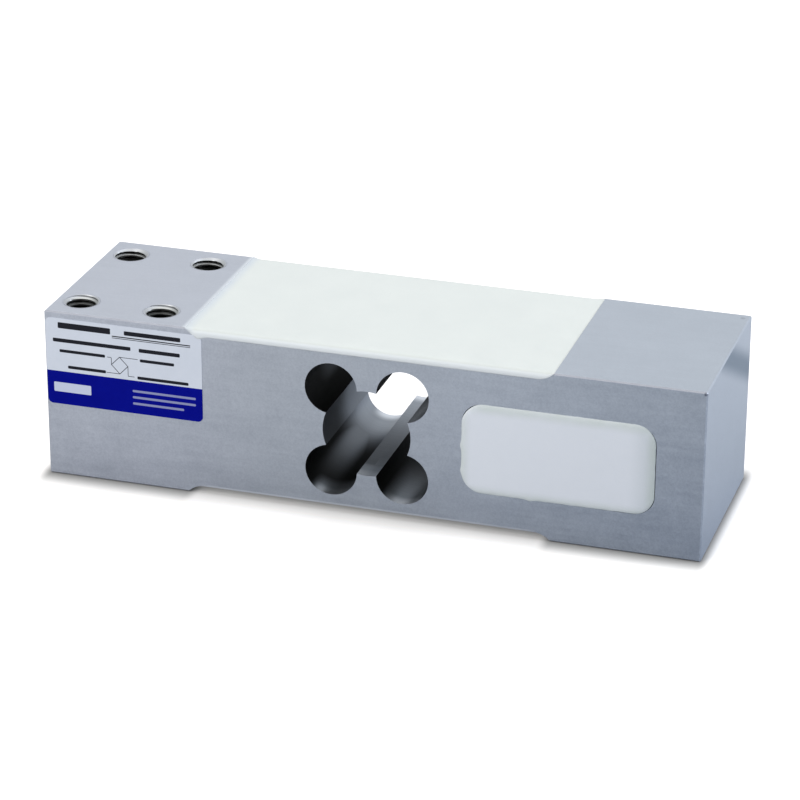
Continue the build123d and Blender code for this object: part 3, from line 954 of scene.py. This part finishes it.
def rim_shift(x, z, out_x, out_z):
    # How far the rim lies outside (or, negative, inside) the pocket's wall here.
    shift = 0.05 * MM * ripple(x, z, 1.8 * MM, 2.0) + 0.02 * MM
    for creep_x, creep_z, size, width in CREEPS:
        away = hypot(x - creep_x, z - creep_z)
        shift += size * exp(-((away / width) ** 2))
    facing_right = max(0.0, out_x) ** 2 + 0.5 * max(0.0, -out_z) ** 4 * max(0.0, x / POCKET_HALF_LENGTH)
    return shift - SHRINKAGE * min(1.0, facing_right)


def crown(x, z, inward):
    # Distance from the block's front face forwards, at this distance in from the rim.
    proud = FRONT_Y - CROWN_Y
    rise = 1 - exp(-inward / (0.35 * MM))
    swell = 0.05 * ripple(x, z, 7 * MM, 6.0) + 0.03 * ripple(x, z, 2.5 * MM, 8.0)
    return min(proud * (0.82 + 0.1 * rise + swell) * rise, proud * 0.99)


def wall_ring(y, shift_of):
    # The outline at one depth, each point moved outwards by its own shift.
    ring = []
    for x, z, out_x, out_z in pocket_outline:
        shift = shift_of(x, z, out_x, out_z)
        ring.append((x + shift * out_x, y, z + shift * out_z))
    return ring


def face_ring(inset):
    ring = []
    sunk = 0.03 * MM if inset == 0.0 else 0.0
    for x, z, out_x, out_z in pocket_outline:
        moved = rim_shift(x, z, out_x, out_z) * max(0.0, 1 - inset) - inset * MM
        px, pz = x + moved * out_x, z + moved * out_z
        ring.append((px, FRONT_Y - crown(px, pz, inset * MM) + sunk, pz))
    return ring


def inner_ring(rim, share):
    places = [(x * share / 0.95, z * share / 0.95) for x, _, z in rim]
    return [(x, FRONT_Y - crown(x, z, DEEP_INSET), z) for x, z in places]


def sculpt_pocket():
    rings = [wall_ring(POCKET_FLOOR_Y, lambda *place: -0.3 * MM)]
    rings.append(wall_ring(FRONT_Y + 0.1 * MM, lambda *place: min(rim_shift(*place), -0.02 * MM)))
    rings += [face_ring(inset) for inset in INSETS]
    innermost = rings[-1]
    rings += [inner_ring(innermost, share) for share in INNER_SHARES]
    points = [(POCKET_X + x, y, MID_HEIGHT + z) for ring in rings for x, y, z in ring]
    points.append((POCKET_X, FRONT_Y - crown(0.0, 0.0, DEEP_INSET), MID_HEIGHT))
    width = len(pocket_outline)
    polygons = [tuple(range(width))]
    for level in range(len(rings) - 1):
        for side in range(width):
            first = level * width + side
            other = level * width + (side + 1) % width
            polygons.append((first, first + width, other + width, other))
    top = (len(rings) - 1) * width
    for side in range(width):
        polygons.append((top + side, len(points) - 1, top + (side + 1) % width))
    return points, polygons


POCKET_TONES = (
    rgb(0.73, 0.755, 0.795), rgb(0.765, 0.785, 0.825), rgb(0.75, 0.772, 0.812), rgb(0.61, 0.655, 0.625)
)
pocket_silicone = silicone(
    "pocket_silicone", POCKET_TONES, "Z", centre=(POCKET_X - 0.2 * MM, MID_HEIGHT - 0.3 * MM),
    half_length=POCKET_HALF_LENGTH, half_height=POCKET_HALF_HEIGHT, rim_strength=0.9,
    shade_from=POCKET_X + POCKET_HALF_LENGTH - 6.5 * MM,
)
pocket_fill = mesh_piece("sculpted_pocket_sealant", *sculpt_pocket(), pocket_silicone, "white_sealant")
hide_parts("pocket_sealant")
print("pocket silicone has", len(pocket_fill.data.polygons), "faces")

# %% [markdown]
# The label is a half-matt film, white above and blue below. Its print is kept generic:
# plain bars where lines of print would be, two thin rules, and the diamond that every
# strain gauge bridge is drawn as, with thin leads to its corners. The CAD film is right as
# it is, so the print is pure material. Each bar is one use of the rounded field, listed in
# a table of places and half sizes in millimetres from the label's centre.

# %% Label: place and print
label_low, label_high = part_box("identification_label")
LABEL_X = (label_low.x + label_high.x) / 2
LABEL_Z = (label_low.z + label_high.z) / 2
DARK_BARS = (
    (-9.2, 8.7, 6.2, 0.68), (6.9, 8.7, 6.6, 0.48), (6.6, 7.65, 9.2, 0.10), (6.6, 7.25, 9.2, 0.05),
    (-7.5, 5.1, 9.2, 0.42), (8.5, 5.0, 4.8, 0.42), (-9.8, 2.6, 5.4, 0.33), (-8.8, -1.15, 4.5, 0.33),
    (7.9, 2.6, 4.0, 0.33), (9.2, -1.6, 6.0, 0.33),
)
LEADS = (
    (1.2, 2.8, 2.15, 0.05), (-2.55, -1.2, 1.6, 0.05), (-3.4, 2.5, 0.5, 0.05), (-2.9, 1.65, 0.05, 0.85),
    (1.0, -0.35, 0.05, 1.15), (1.75, -1.5, 0.75, 0.05),
)
PALE_FIELD = ((-12.4, -6.2, 4.4, 1.1),)
FAINT_BARS = ((9.4, -4.9, 7.4, 0.22), (9.4, -6.4, 7.4, 0.22), (8.0, -7.9, 6.0, 0.22))
film, shader, where, axis = new_finish("label_film", IOR=1.45, Specular_IOR_Level=0.05)
across = minus(axis["X"], LABEL_X)
up = minus(axis["Z"], LABEL_Z)


def printed(bars, softness=0.06 * MM):
    # All the bars of one ink, as one mask.
    return largest(*[
        use_group(
            rounded_field, Across=across, Up=up, Centre_Across=bar_x * MM, Centre_Up=bar_z * MM,
            Half_Length=half_length * MM, Half_Height=half_height * MM, Corner=min(half_height, 0.2) * MM,
            Softness=softness,
        )["Mask"]
        for bar_x, bar_z, half_length, half_height in bars
    ])


print("print has", len(DARK_BARS + LEADS + PALE_FIELD + FAINT_BARS), "bars")

# %% [markdown]
# A diamond is where the distances across and up, each in halves of its size, add up to 1.

# %% Label: diamond of the bridge
DIAMOND_X = -0.95 * MM
DIAMOND_Z = 0.8 * MM
DIAMOND_HALF_LENGTH = 1.95 * MM
DIAMOND_HALF_HEIGHT = 2.0 * MM
LINE_HALF = 0.045
from_x = maths("DIVIDE", absolute(minus(across, DIAMOND_X)), DIAMOND_HALF_LENGTH)
from_z = maths("DIVIDE", absolute(minus(up, DIAMOND_Z)), DIAMOND_HALF_HEIGHT)
diamond = soft_step(absolute(minus(plus(from_x, from_z), 1.0)), LINE_HALF + 0.02, LINE_HALF)
print("diamond is", 2 * DIAMOND_HALF_LENGTH / MM, "mm wide")

# %% [markdown]
# The inks lie on the film in layers, as a printer puts them: the tint of the film, the
# blue field with a soft edge, black with a few pin holes, and the pale ink on the blue.

# %% Label: inks together
BLUE_TOP = -2.35 * MM
BLUE_EDGE = 0.04 * MM
dark_ink = largest(printed(DARK_BARS), printed(LEADS, 0.04 * MM), diamond)
pale_ink = plus(times(printed(PALE_FIELD), 0.85), times(printed(FAINT_BARS, 0.1 * MM), 0.4))
in_blue = soft_step(up, BLUE_TOP + BLUE_EDGE, BLUE_TOP - BLUE_EDGE)
tint = cloudiness(where, 6 * MM, 0.5)
pin_holes = use_group(specks, Vector=where, Spacing=0.9 * MM, Share=0.25, Radius=0.10)["Mask"]
worn_ink = times(dark_ink, minus(1.0, times(pin_holes, 0.6)), 0.98)
white = blend_colours(tint, rgb(0.62, 0.655, 0.725), rgb(0.67, 0.70, 0.765))
white_part = blend_colours(worn_ink, white, rgb(0.004, 0.004, 0.008))
blue = blend_colours(tint, rgb(0.0005, 0.002, 0.205), rgb(0.001, 0.004, 0.25))
blue_part = blend_colours(pale_ink, blue, rgb(0.66, 0.70, 0.82))
feed(shader.inputs["Base Color"], blend_colours(in_blue, white_part, blue_part))
feed(shader.inputs["Roughness"], scaled(tint, 0.3, 0.42))
wave = stretched_noise(where, 120.0, detail=1.0)
relief(shader, plus(wave, times(dark_ink, 0.04)), 0.05 * MM, 0.3)
dress(film, "identification_label")

# %% [markdown]
# The cable inlet at the rear has a moulded rubber grommet. Rubber is near black, soft in
# its highlights, and blooms: a grey film that gathers in clouds, with dust caught on it.

# %% Rubber
rubber, shader, where, axis = new_finish("black_rubber", IOR=1.52)
bloom = cloudiness(where, 2.2 * MM, 0.9)
dust = use_group(specks, Vector=where, Spacing=0.7 * MM, Share=0.3, Radius=0.12)["Mask"]
colour = blend_colours(bloom, rgb(0.012, 0.012, 0.013), rgb(0.035, 0.035, 0.037))
feed(shader.inputs["Base Color"], blend_colours(times(dust, 0.5), colour, rgb(0.16, 0.15, 0.14)))
feed(shader.inputs["Roughness"], scaled(bloom, 0.48, 0.7))
relief(shader, stretched_noise(where, 2600.0), 0.012 * MM, 0.5)
dress(rubber, "cable_grommet")

# %% [markdown]
# What the silicone hides: gauges, terminals, leads and the little board. They are seen
# only when the cell is opened, but they are part of it, so each gets its own finish. All
# of these are thin films, metals and wires with two tones and a fine relief, so one
# recipe serves, and a table holds what differs.

# %% Finishes under the silicone


def small_finish(name, dark, light, size, roughness, metallic):
    material, shader, where, axis = new_finish(name, Metallic=metallic)
    tone = cloudiness(where, size * MM, 0.8)
    feed(shader.inputs["Base Color"], blend_colours(tone, rgb(*dark), rgb(*light)))
    feed(shader.inputs["Roughness"], scaled(tone, *roughness))
    relief(shader, stretched_noise(where, 3000.0), 0.004 * MM, 0.4)
    return material


FILMS = ("gauge_carrier", "terminal_strip")
COPPERS = ("terminal_pads", "jumper_ribbons", "board_pads")
SOLDERS = ("terminal_solder", "board_solder")
HIDDEN_FINISHES = (
    ("amber_film", (0.42, 0.20, 0.03), (0.60, 0.32, 0.06), 1.2, (0.22, 0.34), 0.0, FILMS),
    ("gauge_foil", (0.50, 0.44, 0.36), (0.66, 0.60, 0.50), 0.6, (0.24, 0.36), 1.0, ("gauge_foil",)),
    ("copper_pad", (0.62, 0.28, 0.13), (0.84, 0.45, 0.24), 0.8, (0.22, 0.40), 1.0, COPPERS),
    ("lead_insulation", (0.45, 0.03, 0.02), (0.58, 0.05, 0.03), 1.0, (0.35, 0.5), 0.0, ("lead_wires",)),
    ("solder", (0.55, 0.56, 0.58), (0.78, 0.79, 0.80), 0.5, (0.15, 0.35), 1.0, SOLDERS),
    ("board_laminate", (0.02, 0.12, 0.05), (0.04, 0.20, 0.09), 1.6, (0.3, 0.45), 0.0, ("compensation_board",)),
    ("chip_ceramic", (0.02, 0.02, 0.025), (0.07, 0.07, 0.08), 0.7, (0.4, 0.6), 0.0, ("span_", "zero_")),
)
for name, dark, light, size, roughness, metallic, starts in HIDDEN_FINISHES:
    finish = small_finish(name, dark, light, size, roughness, metallic)
    dress(finish, *[node for node in nodes if node.startswith(starts)])

# %% [markdown]
# The studio. The floor is a sheet of white paper. To the camera it is bright enough to
# lose its texture, as in a cut-out product picture, and only a narrow, painted contact shadow
# shows on it, fainter where the recess below lifts off the paper. To the metal the paper is
# a paler grey, with painted shade near the block and before its right end, because a block on
# burnt-out paper would look washed out: the Light Path node tells the camera's own rays
# from reflected ones.

# %% Paper floor
FLOOR_HALF = 4.0
FLOOR_Z = -0.00005
SHADOW_NARROWING = 0.4
floor_mesh = bpy.data.meshes.new("paper_floor")
sides = ((-1, -1), (1, -1), (1, 1), (-1, 1))
corners = [(side_x * FLOOR_HALF, side_y * FLOOR_HALF, FLOOR_Z) for side_x, side_y in sides]
floor_mesh.from_pydata(corners, [], [(0, 1, 2, 3)])
paper_floor = bpy.data.objects.new("paper_floor", floor_mesh)
bpy.context.scene.collection.objects.link(paper_floor)
paper, shader, where, axis = new_finish("floor_paper", Roughness=0.9, Specular_IOR_Level=0.1)
floor_mesh.materials.append(paper)
fibre = cloudiness(where, 12 * MM, 0.4)
print("paper of", 2 * FLOOR_HALF, "m laid out")

# %% Paper floor: what the metal sees and what the camera sees
from_block = use_group(
    rounded_field, Across=axis["X"], Up=axis["Y"], Half_Length=HALF_LENGTH, Half_Height=HALF_WIDTH,
    Corner=1 * MM,
)["Distance"]
# painted shade: the paper the metal sees is painted darker near the block and before its right end
before_right_end = times(soft_step(axis["X"], -40 * MM, 110 * MM), soft_step(axis["Y"], 15 * MM, -40 * MM))
painted_floor_shade = plus(times(soft_step(from_block, 75 * MM, 3 * MM), 0.3), times(before_right_end, 0.68))
to_metal = blend_colours(fibre, rgb(0.50, 0.51, 0.525), rgb(0.53, 0.54, 0.555))
to_metal = blend_colours(painted_floor_shade, to_metal, rgb(0.14, 0.165, 0.215))
from_foot = use_group(
    rounded_field, Across=axis["X"], Up=times(axis["Y"], SHADOW_NARROWING), Half_Length=HALF_LENGTH,
    Half_Height=SHADOW_NARROWING * HALF_WIDTH, Corner=0.4 * MM,
)["Distance"]
under_recess = soft_step(absolute(axis["X"]), 42 * MM, 39 * MM)
# painted shadow: the paper is painted grey right round the block's foot
painted_contact_shadow = times(soft_step(from_foot, 3.0 * MM, -0.3 * MM), scaled(under_recess, 0.95, 0.38))
to_camera = blend_colours(fibre, rgb(0.96, 0.92, 0.88), rgb(0.98, 0.94, 0.90))
to_camera = blend_colours(painted_contact_shadow, to_camera, rgb(0.25, 0.245, 0.235))
seen = place(paper.node_tree, "ShaderNodeLightPath").outputs["Is Camera Ray"]
feed(shader.inputs["Base Color"], blend_colours(seen, to_metal, to_camera))
glows = maths("SUBTRACT", seen, painted_contact_shadow, clamp=True)
feed(shader.inputs["Emission Color"], blend_colours(glows, rgb(0.0, 0.0, 0.0), rgb(1.0, 1.0, 1.0)))
shader.inputs["Emission Strength"].default_value = 0.25
print("contact shadow drawn round the block")

# %% [markdown]
# Soft light from all round, a large softbox overhead, one at the right that lifts the end
# face, and a weak one at the front left. Large lamps give the soft shading of the metal.

# %% Light
world = bpy.data.worlds.new("studio")
bpy.context.scene.world = world
world.use_nodes = True
backdrop = world.node_tree.nodes["Background"]
backdrop.inputs["Color"].default_value = rgb(0.93, 0.965, 1.0)
backdrop.inputs["Strength"].default_value = 0.75


def softbox(name, place_at, side, watts, colour):
    # A square lamp that shines at the middle of the floor.
    data = bpy.data.lights.new(name, "AREA")
    data.size = side
    data.energy = watts
    data.color = colour
    lamp = bpy.data.objects.new(name, data)
    lamp.location = place_at
    lamp.rotation_euler = (-Vector(place_at)).to_track_quat("-Z", "Y").to_euler()
    bpy.context.scene.collection.objects.link(lamp)
    print("softbox", name, "of", watts, "W")


softbox("overhead_box", (-0.2, 0.3, 1.5), 1.4, 7.5, (1.0, 1.0, 1.0))
softbox("right_box", (1.3, 0.2, 0.5), 0.8, 14.0, (0.80, 0.87, 1.0))
softbox("front_left_box", (-0.7, -1.1, 0.8), 0.7, 8.0, (1.0, 0.985, 0.97))
bpy.context.scene.view_settings.view_transform = "Standard"
